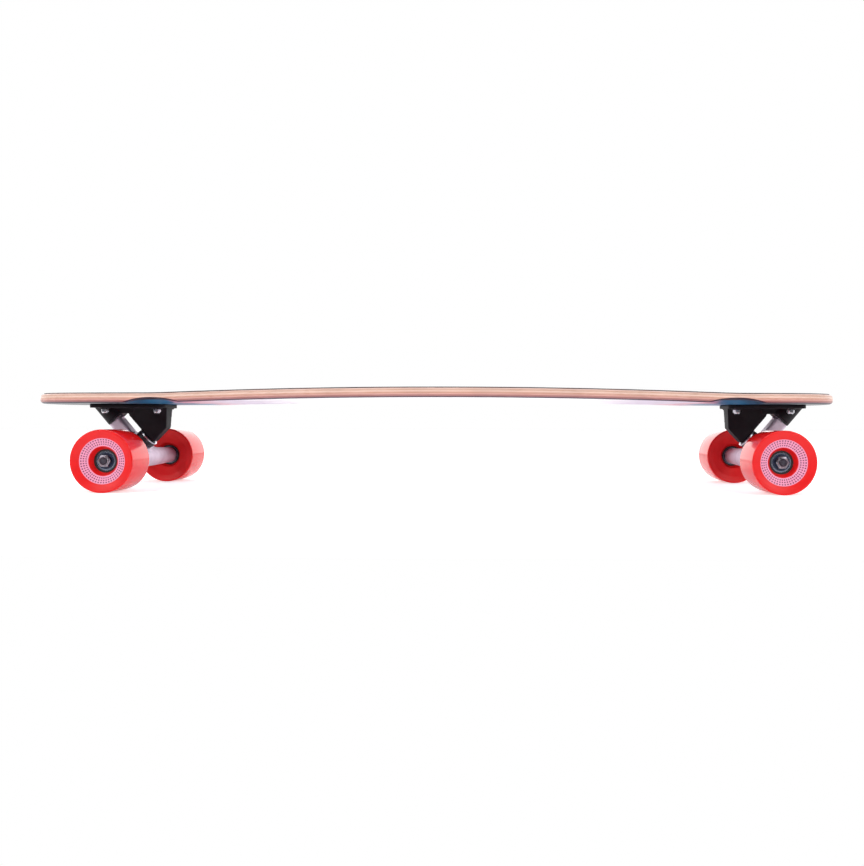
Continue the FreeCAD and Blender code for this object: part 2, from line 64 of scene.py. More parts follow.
MM = 0.001
ENDS = {"front": 1, "rear": -1}
SIDES = {"left": 1, "right": -1}
ALONG_Y = (math.pi / 2, 0, 0)
MATH = "ShaderNodeMath"
RANGE = "ShaderNodeMapRange"
MIX = "ShaderNodeMix"
PLIES = 7
MOUNTING_NUT = {"flats": 8 * MM, "height": 5 * MM, "collar": 1.1 * MM, "bore": 2.4 * MM}
AXLE_NUT = {"flats": 12.7 * MM, "height": 6.5 * MM, "collar": 1.6 * MM, "bore": 3.97 * MM}
KINGPIN_NUT = {"flats": 14.3 * MM, "height": 7 * MM, "collar": 1.8 * MM, "bore": 4.7 * MM}
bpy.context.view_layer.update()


def linear(code):
    """An sRGB hex colour as the linear RGBA that shaders take."""
    channels = [int(code[i:i + 2], 16) / 255 for i in (1, 3, 5)]
    return tuple(c / 12.92 if c <= 0.04045 else ((c + 0.055) / 1.055) ** 2.4 for c in channels) + (1.0,)


def colour(name, description, code):
    return bpy.props.FloatVectorProperty(
        name=name, description=description, subtype="COLOR", size=4, min=0, max=1, default=linear(code))


def length(name, description, millimetres):
    return bpy.props.FloatProperty(
        name=name, description=description, unit="LENGTH", min=0, default=millimetres * MM)


class SkateboardSizes(bpy.types.PropertyGroup):
    wheel_bore: length("Wheel bore", "Radius of the hole that the hub core fills", 13.0)
    bore_length: length("Bore length", "Length of that hole", 26.0)
    hub_mouth: length("Hub mouth", "Radius where the hub opens in the wheel's face", 16.0)
    mouth_depth: length("Mouth depth", "How far the hub's mouth lies in from the wheel's face", 6.7)
    dish_radius: length("Dish radius", "The wheel's face slopes in from here to the hub", 33.0)
    lip_radius: length("Lip radius", "Rounding between the wheel's face and its tread", 1.5)
    print_inner: length("Print, inner radius", "Inner edge of the printed ring", 16.6)
    print_outer: length("Print, outer radius", "Outer edge of the printed ring", 25.4)
    dot_pitch: length("Dot pitch", "Distance between the rows of printed dots", 2.5)
    dot_columns: bpy.props.IntProperty(
        name="Dot columns", description="Printed dots in one row round the wheel", min=12, default=50)
    ply: length("Ply", "Thickness of one layer of veneer", 1.6)
    cast_detail: length("Casting detail", "Smallest detail kept on the cast pieces", 0.65)
    bushing_bulge: length("Bushing bulge", "How far the bushings bulge under the kingpin's load", 0.5)


class SkateboardColours(bpy.types.PropertyGroup):
    wheel: colour("Wheel", "Cast urethane of the wheels", "#EC1B1D")
    wheel_print: colour("Wheel print", "Ground of the printed ring", "#F2A2C3")
    wheel_dots: colour("Wheel dots", "Dots of the printed ring", "#7C2248")
    maple_light: colour("Maple, light", "Veneers with their grain along the board", "#F4D2C3")
    maple_dark: colour("Maple, dark", "Veneers with their grain across the board", "#DDAD97")
    under_middle: colour("Underside, middle", "Painted underside at the middle of the board", "#FCFAFD")
    under_lavender: colour(
        "Underside, lavender", "Painted underside between the middle and the trucks", "#D3C1DA")
    under_pink: colour("Underside, pink", "Painted underside just inboard of the trucks", "#D98FA6")
    under_teal: colour("Underside, teal", "Painted underside inboard of the trucks", "#0B6896")
    under_navy: colour("Underside, navy", "Painted underside from the trucks to the tips", "#16243A")
    # dark plum: the line along the rail's lower edge, and painted shade at the top of each wheel well
    edge_line_and_well_shade: colour(
        "Edge line", "Dark line along the rail's lower edge and round the wheel wells", "#2E1A30")
    powder: colour("Baseplate", "Powder coat of the baseplates", "#110811")
    casting: colour("Hanger", "Bare cast aluminium of the hangers", "#D8C4D8")


# ---- Working in Blender ----
def deselect():
    if bpy.context.mode != "OBJECT":
        bpy.ops.object.mode_set(mode="OBJECT")
    bpy.ops.object.select_all(action="DESELECT")


def select(piece, *others):
    deselect()
    for one in (piece, *others):
        one.select_set(True)
    bpy.context.view_layer.objects.active = piece


def middle(node):
    low, high = (Vector(corner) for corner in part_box(node))
    return (low + high) / 2


def arc_corner(before, corner, after, radius, steps):
    """Points of the arc that rounds one corner of a profile."""
    back = (before - corner).normalized()
    on = (after - corner).normalized()
    half = back.angle(on) / 2
    centre = corner + (back + on).normalized() * (radius / math.sin(half))
    reach = radius / math.tan(half)
    first = corner + back * reach - centre
    last = corner + on * reach - centre
    start = math.atan2(first.y, first.x)
    sweep = (math.atan2(last.y, last.x) - start + math.pi) % (2 * math.pi) - math.pi
    for step in range(steps + 1):
        angle = start + sweep * step / steps
        yield centre + Vector((math.cos(angle), math.sin(angle))) * radius


def rounded(corners, steps=6):
    """A closed profile of (radius, place) points, from corners given with the rounding of each."""
    points = [Vector(corner[:2]) for corner in corners]
    profile = []
    for i, corner in enumerate(corners):
        if corner[2]:
            before, after = points[i - 1], points[(i + 1) % len(points)]
            profile += arc_corner(before, points[i], after, corner[2], steps)
        else:
            profile.append(points[i])
    return profile


def turn(name, profile, segments):
    """A ring about the Y axis: a circle drawn out along the closed profile until it meets its start."""
    deselect()
    start = profile[0]
    bpy.ops.mesh.primitive_circle_add(
        vertices=segments, radius=start.x, location=(0, start.y, 0), rotation=ALONG_Y)
    piece = bpy.context.active_object
    piece.name = piece.data.name = name
    bpy.ops.object.transform_apply(location=True, rotation=True, scale=True)
    bpy.ops.object.mode_set(mode="EDIT")
    bpy.ops.mesh.select_all(action="SELECT")
    here = start
    for point in profile[1:] + [start]:
        bpy.ops.mesh.extrude_edges_move(TRANSFORM_OT_translate={"value": (0, point.y - here.y, 0)})
        grow = point.x / here.x
        bpy.ops.transform.resize(value=(grow, 1, grow), center_override=(0, point.y, 0))
        here = point
    bpy.ops.mesh.select_all(action="SELECT")
    bpy.ops.mesh.remove_doubles(threshold=0.001 * MM)
    bpy.ops.mesh.normals_make_consistent(inside=False)
    bpy.ops.object.mode_set(mode="OBJECT")
    return piece


def copy_of(piece, name):
    twin = bpy.data.objects.new(name, piece.data.copy())
    twin.data.name = name
    bpy.context.scene.collection.objects.link(twin)
    return twin


def aim(piece, direction, flat, place):
    """Turns a piece made along +Y to lie along direction, with its local Z towards flat, and moves it."""
    along = Vector(direction).normalized()
    up = Vector(flat)
    turned = Matrix((along.cross(up), along, up)).transposed().to_4x4()
    piece.matrix_world = Matrix.Translation(place) @ turned
    select(piece)
    bpy.ops.object.transform_apply(location=True, rotation=True, scale=True)


def join(name, pieces):
    select(*pieces)
    if len(pieces) > 1:
        bpy.ops.object.join()
    piece = bpy.context.active_object
    piece.name = piece.data.name = name
    return piece


def apply_modifier(piece, kind, **settings):
    modifier = piece.modifiers.new(kind.title(), kind)
    for key, value in settings.items():
        setattr(modifier, key, value)
    select(piece)
    bpy.ops.object.modifier_apply(modifier=modifier.name)


def smooth(piece, degrees=32):
    select(piece)
    bpy.ops.object.shade_smooth_by_angle(angle=math.radians(degrees))


def stand_in(piece, body, slot, *nodes):
    """The piece rides on the body, in the place of these CAD nodes."""
    if body:
        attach(piece, body)
    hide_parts(*nodes)


def finish(piece, material):
    """Puts one material all over a piece or a CAD node."""
    if not piece.material_slots:
        piece.data.materials.append(material)
    for slot in piece.material_slots:
        slot.material = material


# ---- Materials ----
def add_node(tree, kind, inputs=None, **settings):
    """Adds a node with its settings, and its inputs as values or as links from other nodes' outputs."""
    node = tree.nodes.new(kind)
    for key, value in settings.items():
        setattr(node, key, value)
    for key, value in (inputs or {}).items():
        if isinstance(value, bpy.types.NodeSocket):
            tree.links.new(value, node.inputs[key])
        else:
            node.inputs[key].default_value = value
    return node


def calc(tree, operation, *values, **settings):
    """The result of one Math node."""
    return add_node(tree, MATH, dict(enumerate(values)), operation=operation, **settings).outputs[0]


def remap(tree, value, start=(0.0, 1.0), end=(0.0, 1.0), **settings):
    """A value carried from one range to another, and held at its ends."""
    inputs = {0: value, 1: start[0], 2: start[1], 3: end[0], 4: end[1]}
    return add_node(tree, RANGE, inputs, **settings).outputs[0]


def mix(tree, share, first, second, blend_type="MIX"):
    """Two colours mixed by a share."""
    inputs = {0: share, 6: first, 7: second}
    return add_node(tree, MIX, inputs, data_type="RGBA", blend_type=blend_type).outputs[2]


def noise(tree, place, grain, detail, **inputs):
    """Noise with features about grain millimetres across."""
    return add_node(tree, "ShaderNodeTexNoise", {
        "Vector": place, "Scale": 1 / (grain * MM), "Detail": detail, **inputs}).outputs["Fac"]


def new_material(name, inputs):
    """A material with a Principled shader, whose plain numbers and colours sit on its own sockets."""
    material = bpy.data.materials.new(name)
    material.use_nodes = True
    shader = material.node_tree.nodes["Principled BSDF"]
    for key, value in inputs.items():
        shader.inputs[key].default_value = value
    return material, material.node_tree, shader


def settings_of(context):
    return context.scene.skateboard_sizes, context.scene.skateboard_colours


def cast_urethane(sizes, colours):
    """Cast urethane, turned to size on a lathe: deep colour, a glossy skin and a soft unevenness.

    The outboard face carries a pad-printed ring of dots, which is duller than the urethane.
    """
    material, tree, shader = new_material("red_cast_urethane", {"IOR": 1.5, "Specular IOR Level": 0.33})
    place = add_node(tree, "ShaderNodeAttribute", attribute_name="hub_place").outputs["Vector"]
    parts = add_node(tree, "ShaderNodeSeparateXYZ", {0: place}).outputs
    flat = add_node(tree, "ShaderNodeCombineXYZ", {0: parts["X"], 1: parts["Z"]}).outputs[0]
    radius = add_node(tree, "ShaderNodeVectorMath", {0: flat}, operation="LENGTH").outputs["Value"]
    angle = calc(tree, "ARCTAN2", parts["Z"], parts["X"])
    # the printed ring, on the outboard face only
    inside = calc(tree, "LESS_THAN", radius, sizes.print_outer)
    outside = calc(tree, "GREATER_THAN", radius, sizes.print_inner)
    outboard = calc(tree, "GREATER_THAN", parts["Y"], sizes.bore_length / 2)
    ring = calc(tree, "MULTIPLY", inside, outside)
    ring = calc(tree, "MULTIPLY", ring, outboard)
    # rows of dots, which stop short of the ring's plain borders
    border, row_cut, column_cut = 0.9 * MM, -0.15, 0.1
    row = calc(tree, "SUBTRACT", radius, sizes.print_inner + border)
    row = calc(tree, "MULTIPLY", row, 2 * math.pi / sizes.dot_pitch)
    row = calc(tree, "COSINE", row)
    row = calc(tree, "MULTIPLY", row, -1.0)
    row = calc(tree, "GREATER_THAN", row, row_cut)
    column = calc(tree, "MULTIPLY", angle, float(sizes.dot_columns))
    column = calc(tree, "COSINE", column)
    column = calc(tree, "GREATER_THAN", column, column_cut)
    field_in = calc(tree, "GREATER_THAN", radius, sizes.print_inner + border)
    field_out = calc(tree, "LESS_THAN", radius, sizes.print_outer - border)
    dots = calc(tree, "MULTIPLY", row, column)
    dots = calc(tree, "MULTIPLY", dots, field_in)
    dots = calc(tree, "MULTIPLY", dots, field_out)
    # cast urethane clouds a little over about a centimetre
    cloud = noise(tree, place, 9, 3.0)
    shade = remap(tree, cloud, end=(0.9, 1.06))
    red = mix(tree, 1.0, colours.wheel, shade, "MULTIPLY")
    ink = mix(tree, dots, colours.wheel_print, colours.wheel_dots)
    paint = mix(tree, ring, red, ink)
    tree.links.new(paint, shader.inputs["Base Color"])
    grain = noise(tree, place, 1.6, 2.0)
    gloss = remap(tree, grain, end=(0.07, 0.13))
    # the tread is turned to a polish; the faces are as moulded, in satin, and the print is duller still
    face = calc(tree, "LESS_THAN", radius, sizes.dish_radius + 1 * MM)
    satin = add_node(tree, MIX, {0: face, 2: gloss, 3: 0.38}).outputs[0]
    dull = add_node(tree, MIX, {0: ring, 2: satin, 3: 0.5})
    tree.links.new(dull.outputs[0], shader.inputs["Roughness"])
    # the print stands proud of the face by its film of ink
    bump = add_node(tree, "ShaderNodeBump", {"Strength": 0.25, "Distance": 0.05 * MM, "Height": grain})
    film = add_node(tree, "ShaderNodeBump", {
        "Strength": 0.5, "Distance": 0.05 * MM, "Height": dots, "Normal": bump.outputs[0]})
    tree.links.new(film.outputs[0], shader.inputs["Normal"])
    return material


def painted_maple(sizes, colours, deck_low):
    """Seven cross-laid maple veneers, sanded and lacquered, with a painted underside.

    The plies show along the rails as fine lines that follow the camber.
    """
    material, tree, shader = new_material("lacquered_maple_plywood", {"IOR": 1.5, "Roughness": 0.38})
    place = add_node(tree, "ShaderNodeTexCoord").outputs["Object"]
    parts = add_node(tree, "ShaderNodeSeparateXYZ", {0: place}).outputs
    # height above the cambered underside: the camber is a shallow arc, flat under the trucks
    x = calc(tree, "SUBTRACT", parts["X"], deck_low["middle"])
    reach = calc(tree, "ABSOLUTE", x)
    square = calc(tree, "MULTIPLY", x, x)
    fall = calc(tree, "MULTIPLY", square, 1 / (2 * deck_low["radius"]))
    rise = calc(tree, "SUBTRACT", deck_low["camber"], fall)
    rise = calc(tree, "MAXIMUM", rise, 0.0)
    height = calc(tree, "SUBTRACT", parts["Z"], deck_low["height"])
    height = calc(tree, "SUBTRACT", height, rise)
    # veneers: every second one lies across the board and shows its darker end grain
    count = calc(tree, "DIVIDE", height, sizes.ply)
    within = calc(tree, "FRACT", count)
    layer = calc(tree, "FLOOR", count)
    across = calc(tree, "FLOORED_MODULO", layer, 2.0)
    glue = calc(tree, "LESS_THAN", within, 0.1)
    # grain: fibres about 0.5 mm wide and 60 mm long, drawn 1 mm wide to show
    stretched = add_node(tree, "ShaderNodeMapping", {
        "Vector": place, "Scale": (1 / (60 * MM), 1 / (1.1 * MM), 1 / (1.1 * MM))}).outputs[0]
    fibre = add_node(tree, "ShaderNodeTexNoise", {
        "Vector": stretched, "Scale": 1.0, "Detail": 4.0}).outputs["Fac"]
    blotch = noise(tree, place, 35, 2.0)
    tone = calc(tree, "MULTIPLY", across, 0.75)
    streak = remap(tree, fibre, (0.35, 0.75), (-0.12, 0.45))
    tone = calc(tree, "ADD", tone, streak, use_clamp=True)
    wood = mix(tree, tone, colours.maple_light, colours.maple_dark)
    warm = remap(tree, blotch, (0.3, 0.7), (0.93, 1.04))
    seam = calc(tree, "MULTIPLY", glue, 0.22)
    warm = calc(tree, "SUBTRACT", warm, seam)
    wood = mix(tree, 1.0, wood, warm, "MULTIPLY")
    # the wood darkens to mauve towards the rail's lower edge: partly the underside's paint sprayed up the
    # rail, partly painted shade on the rounded rail's lower half, which faces down
    share = calc(tree, "DIVIDE", height, PLIES * sizes.ply)
    overspray_and_shade = add_node(tree, "ShaderNodeValToRGB", {0: share})
    ramp = overspray_and_shade.color_ramp
    ramp.elements[0].position, ramp.elements[0].color = 0.04, linear("#A497C4")
    ramp.elements[1].position, ramp.elements[1].color = 1.0, linear("#EEE6EC")
    for position, tint in ((0.2, "#C0A5B4"), (0.36, "#EACDD0"), (0.55, "#FFFAFA"), (0.75, "#FFFFFF")):
        ramp.elements.new(position).color = linear(tint)
    wood = mix(tree, 1.0, wood, overspray_and_shade.outputs[0], "MULTIPLY")
    # the painted underside: bands across the board with wandering, misty borders
    drift = noise(tree, place, 55, 3.0, Roughness=0.55)
    wander = 45 * MM
    drift = remap(tree, drift, end=(-wander, wander))
    band = calc(tree, "ADD", reach, drift)
    painted_reach = 0.4
    band = remap(tree, band, (0.0, painted_reach))
    paint = add_node(tree, "ShaderNodeValToRGB", {0: band})
    ramp = paint.color_ramp
    ramp.elements[0].position, ramp.elements[0].color = 0.45, colours.under_middle
    ramp.elements[1].position, ramp.elements[1].color = 0.92, colours.under_navy
    for position, tint in ((0.58, colours.under_lavender), (0.66, colours.under_lavender),
                           (0.72, colours.under_pink), (0.78, colours.under_teal),
                           (0.86, colours.under_teal)):
        ramp.elements.new(position).color = tint
    # wheel wells: painted with the underside lower down, and dark plum at the top of each well's cut as
    # painted shade
    from_well = calc(tree, "SUBTRACT", reach, deck_low["well_place"])
    from_well = calc(tree, "DIVIDE", from_well, deck_low["well_half"])
    from_well = calc(tree, "MULTIPLY", from_well, from_well)
    well_top, paint_top = (6.6 * MM, 1.3 * MM), (4.2 * MM, 0.25 * MM)  # at the well's middle and its ends
    depth = remap(tree, from_well, end=well_top)
    edge = remap(tree, from_well, end=paint_top)
    cut = calc(tree, "LESS_THAN", height, depth)
    under = calc(tree, "LESS_THAN", height, edge)
    # the band between the two heights is painted dark plum: a thin line along the rail's lower edge, and in
    # the wells a wider band of painted shade
    dark = calc(tree, "SUBTRACT", cut, under)
    base = mix(tree, under, wood, paint.outputs[0])
    base = mix(tree, dark, base, colours.edge_line_and_well_shade)
    tree.links.new(base, shader.inputs["Base Color"])
    bump = add_node(tree, "ShaderNodeBump", {"Strength": 0.2, "Distance": 0.1 * MM, "Height": fibre})
    tree.links.new(bump.outputs[0], shader.inputs["Normal"])
    return material


def grip_grit():
    """Silicon-carbide grit in black resin: matt, rough, with scattered crystals that catch the light.

    Real grit is about 0.2 mm and is drawn at 0.8 mm so that it shows.
    """
    material, tree, shader = new_material("silicon_carbide_grip_tape", {"IOR": 1.5})
    place = add_node(tree, "ShaderNodeTexCoord").outputs["Object"]
    grit = add_node(tree, "ShaderNodeTexVoronoi", {"Vector": place, "Scale": 1 / (0.8 * MM)})
    wear = noise(tree, place, 70, 4.0)
    sparkle = add_node(tree, "ShaderNodeSeparateColor", {0: grit.outputs["Color"]}).outputs[0]
    sparkle = remap(tree, sparkle, (0.75, 1.0), (0.0, 1.0))
    tone = remap(tree, wear, (0.3, 0.7), (0.0, 0.25))
    tone = calc(tree, "ADD", tone, sparkle, use_clamp=True)
    base = mix(tree, tone, linear("#131316"), linear("#3C3C42"))
    tree.links.new(base, shader.inputs["Base Color"])
    rough = remap(tree, sparkle, end=(0.85, 0.45))
    tree.links.new(rough, shader.inputs["Roughness"])
    bump = add_node(tree, "ShaderNodeBump", {
        "Strength": 0.8, "Distance": 0.3 * MM, "Height": grit.outputs["Distance"]})
    tree.links.new(bump.outputs[0], shader.inputs["Normal"])
    return material


def speckled(name, inputs, dark, light, grain, tint_grain, rough, bump):
    """One surface with its own grain: colour drifting over tint_grain, roughness and bump over grain (mm)."""
    material, tree, shader = new_material(name, inputs)
    place = add_node(tree, "ShaderNodeTexCoord").outputs["Object"]
    drift = noise(tree, place, tint_grain, 4.0)
    fine = noise(tree, place, grain, 3.0)
    tone = remap(tree, drift, (0.3, 0.7))
    base = mix(tree, tone, dark, light)
    tree.links.new(base, shader.inputs["Base Color"])
    level = remap(tree, fine, (0.3, 0.7), (rough[0], rough[1]))
    tree.links.new(level, shader.inputs["Roughness"])
    relief = add_node(tree, "ShaderNodeBump", {
        "Strength": bump, "Distance": 0.1 * MM, "Height": fine})
    tree.links.new(relief.outputs[0], shader.inputs["Normal"])
    return material


def pale(code, amount):
    """The colour moved towards white (or black, below zero) by a share."""
    end = 1.0 if amount > 0 else 0.0
    return tuple(c + (end - c) * abs(amount) for c in code[:3]) + (1.0,)


# ---- Pieces ----
class SKATEBOARD_OT_deck(bpy.types.Operator):
    """Maple veneers, painted underside and grip tape on the deck"""
    bl_idname = "skateboard.deck"
    bl_label = "Deck"

    def execute(self, context):
        sizes, colours = settings_of(context)
        low, high = (Vector(corner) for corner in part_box("deck"))
        front, rear = middle("front_axle").x, middle("rear_axle").x
        well_inboard, well_half = 39.5 * MM, 33 * MM
        flat_margin, blend_radius = 3 * MM, 500 * MM
        flat_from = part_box("front_baseplate")[0][0] - flat_margin - (front + rear) / 2
        camber = high.z - low.z - PLIES * sizes.ply
        deck_low = {
            "middle": (front + rear) / 2,
            "height": low.z,
            "camber": camber,
            "radius": (flat_from ** 2 + camber ** 2) / (2 * camber) - blend_radius,
            "well_place": (front - rear) / 2 - well_inboard,
            "well_half": well_half,
        }
        finish(frame["nodes"]["deck"], painted_maple(sizes, colours, deck_low))
        finish(frame["nodes"]["grip_tape"], grip_grit())
        return {"FINISHED"}


class SKATEBOARD_OT_wheels(bpy.types.Operator):
    """Four cast urethane wheels with dished faces, rounded lips and a printed ring"""
    bl_idname = "skateboard.wheels"
    bl_label = "Wheels"

    def execute(self, context):
        sizes, colours = settings_of(context)
        low, high = (Vector(corner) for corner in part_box("front_left_tyre"))
        radius = (high.z - low.z) / 2
        half = (high.y - low.y) / 2
        mouth = half - sizes.mouth_depth
        slope = sizes.mouth_depth / (sizes.dish_radius - sizes.hub_mouth)
        plain_rim, step_width = 0.5 * MM, 0.4 * MM
        step_in = sizes.print_outer + plain_rim
        step_out = step_in + step_width
        at_step = mouth + (step_in - sizes.hub_mouth) * slope
        bead, rim_drop = 0.3 * MM, 0.1 * MM
        outer = [
            (sizes.wheel_bore, sizes.bore_length / 2, 0.3 * MM),
            (sizes.hub_mouth, mouth, 0.8 * MM),
            (step_in, at_step - bead, 0),
            (step_out, at_step, 0.15 * MM),
            (sizes.dish_radius, half - rim_drop, 0),
            (radius, half, sizes.lip_radius),
        ]
        inner = [(r, -place, rounding) for r, place, rounding in reversed(outer)]
        pattern = turn("tyre_pattern", rounded(outer + inner, 10), 144)
        smooth(pattern)
        places = [value for vertex in pattern.data.vertices for value in vertex.co]
        hub_place = pattern.data.attributes.new("hub_place", "FLOAT_VECTOR", "POINT")
        hub_place.data.foreach_set("vector", places)
        material = cast_urethane(sizes, colours)
        for end in ENDS:
            for side, outboard in SIDES.items():
                wheel = copy_of(pattern, f"{end}_{side}_urethane")
                aim(wheel, (0, outboard, 0), (0, 0, 1), middle(f"{end}_{side}_tyre"))
                finish(wheel, material)
                stand_in(wheel, f"{end}_{side}_wheel", "wheel_urethane", f"{end}_{side}_tyre")
        bpy.data.objects.remove(pattern)
        return {"FINISHED"}


def casting_of(node, name, detail, softness):
    """A cast version of a CAD node: one skin, with every edge and inside corner softened."""
    piece = copy_of(frame["nodes"][node], name)
    select(piece)
    bpy.ops.object.mode_set(mode="EDIT")
    bpy.ops.mesh.select_all(action="SELECT")
    bpy.ops.mesh.remove_doubles(threshold=0.001 * MM)
    bpy.ops.object.mode_set(mode="OBJECT")
    bpy.ops.mesh.customdata_custom_splitnormals_clear()
    apply_modifier(piece, "REMESH", mode="VOXEL", voxel_size=detail, use_smooth_shade=True)
    apply_modifier(piece, "SMOOTH", factor=0.5, iterations=softness)
    select(piece)
    bpy.ops.object.shade_smooth()
    return piece


class SKATEBOARD_OT_trucks(bpy.types.Operator):
    """Cast hangers and baseplates with softened edges"""
    bl_idname = "skateboard.trucks"
    bl_label = "Trucks"

    def execute(self, context):
        sizes, colours = settings_of(context)
        # gravity-cast aluminium, tumbled with ceramic media: bright, with a fine pebbled skin
        bare = speckled("tumbled_cast_aluminium", {"Metallic": 0.6}, pale(colours.casting, -0.14),
                        pale(colours.casting, 0.2), 1.3, 14, (0.38, 0.55), 0.18)
        # black polyester powder coat: satin, with the slight orange peel of a cured powder
        coat = speckled("black_powder_coat", {"IOR": 1.45, "Specular IOR Level": 0.2}, colours.powder,
                        pale(colours.powder, 0.01), 1.1, 20, (0.5, 0.62), 0.2)
        for end in ENDS:
            hanger = casting_of(f"{end}_hanger", f"{end}_hanger_casting", sizes.cast_detail, 4)
            finish(hanger, bare)
            stand_in(hanger, f"{end}_hanger_assembly", "cast_hanger", f"{end}_hanger")
            plate = casting_of(f"{end}_baseplate", f"{end}_baseplate_casting", sizes.cast_detail, 3)
            finish(plate, coat)
            stand_in(plate, "board", "painted_baseplate", f"{end}_baseplate")
        return {"FINISHED"}


def kingpin_line(end):
    """The kingpin's direction towards the road, and the middle of the board-side bushing on it."""
    lean = next(joint for joint in frame["joints"] if joint["name"] == f"{end}_lean")
    axis = Vector(lean["axis"]).normalized()
    road = Vector((-axis.z, 0, axis.x)) * ENDS[end]
    return road, middle(f"{end}_board_bushing")


class SKATEBOARD_OT_bushings(bpy.types.Operator):
    """Urethane bushings that bulge between their washers"""
    bl_idname = "skateboard.bushings"
    bl_label = "Bushings"

    def execute(self, context):
        sizes, _ = settings_of(context)
        bore, radius, tip = 4.7 * MM, 12.0 * MM, 9.4 * MM
        shoulder = 10.8 * MM
        tall, short = 7.6 * MM, 9.4 * MM
        ring = 9.24 * MM    # the hanger's ring and its gaps, between the bushings
        bulge = sizes.bushing_bulge
        edge, barrel_round, cone_round = 1.0 * MM, 8 * MM, 6 * MM
        barrel = turn("barrel_pattern", rounded([
            (bore, 0, 0), (radius - bulge, 0, edge), (radius + bulge, tall / 2, barrel_round),
            (radius - bulge, tall, edge), (bore, tall, 0)], 8), 96)
        cone = turn("cone_pattern", rounded([
            (bore, 0, 0), (shoulder - bulge / 2, 0, edge), (shoulder - bulge / 4, short * 0.4, cone_round),
            (tip, short, edge), (bore, short, 0)], 8), 96)
        # poured black urethane: satin and slightly clouded
        black = speckled("black_bushing_urethane", {"IOR": 1.5}, linear("#120E13"), linear("#241C26"),
                         0.9, 6, (0.32, 0.5), 0.2)
        for end in ENDS:
            road, centre = kingpin_line(end)
            seat = centre - road * (tall / 2)
            near = centre + road * (tall / 2)
            far = near + road * ring
            foot = far + road * short
            for pattern, kind, base, fixed, moving in (
                    (barrel, "board_bushing", seat, seat, near), (cone, "road_bushing", far, foot, far)):
                piece = copy_of(pattern, f"{end}_{kind}_urethane")
                aim(piece, road, (0, 1, 0), base)
                smooth(piece, 40)
                finish(piece, black)
                stand_in(piece, None, "bushing_urethane", f"{end}_{kind}")
                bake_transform(piece)
        bpy.data.objects.remove(barrel)
        bpy.data.objects.remove(cone)
        return {"FINISHED"}


def lock_nut(name, flats, height, collar, bore):
    """A hexagonal lock nut on the origin along +Y, with chamfered corners and a rolled collar."""
    corner = flats / math.sqrt(3)
    body = height - collar
    drop = (corner - flats / 2) * math.tan(math.radians(30))
    crown = flats * 0.43
    face = flats * 0.49
    past, fall = corner * 1.03, drop * 1.3    # the blank runs past the corners, which the hexagon cuts
    chamfer = 0.35 * MM
    profile = rounded([
        (bore + chamfer, 0, 0), (face, 0, 0), (past, fall, 0),
        (past, body - fall, 0), (face, body, 0), (crown, body, 0),
        (crown, height, collar * 0.5), (crown * 0.8, height, 0), (crown * 0.78, height - chamfer, 0),
        (bore, height - chamfer, 0), (bore, chamfer, 0)])
    blank = turn(name, profile, 96)
    deselect()
    bpy.ops.mesh.primitive_cylinder_add(
        vertices=6, radius=corner, depth=height * 1.2, location=(0, height / 2, 0),
        rotation=(math.pi / 2, math.pi / 6, 0))
    hexagon = bpy.context.active_object
    apply_modifier(blank, "BOOLEAN", operation="INTERSECT", object=hexagon, solver="EXACT")
    bpy.data.objects.remove(hexagon)
    apply_modifier(blank, "BEVEL", width=0.12 * MM, segments=2, limit_method="ANGLE",
                   angle_limit=math.radians(40))
    smooth(blank, 35)
    return blank


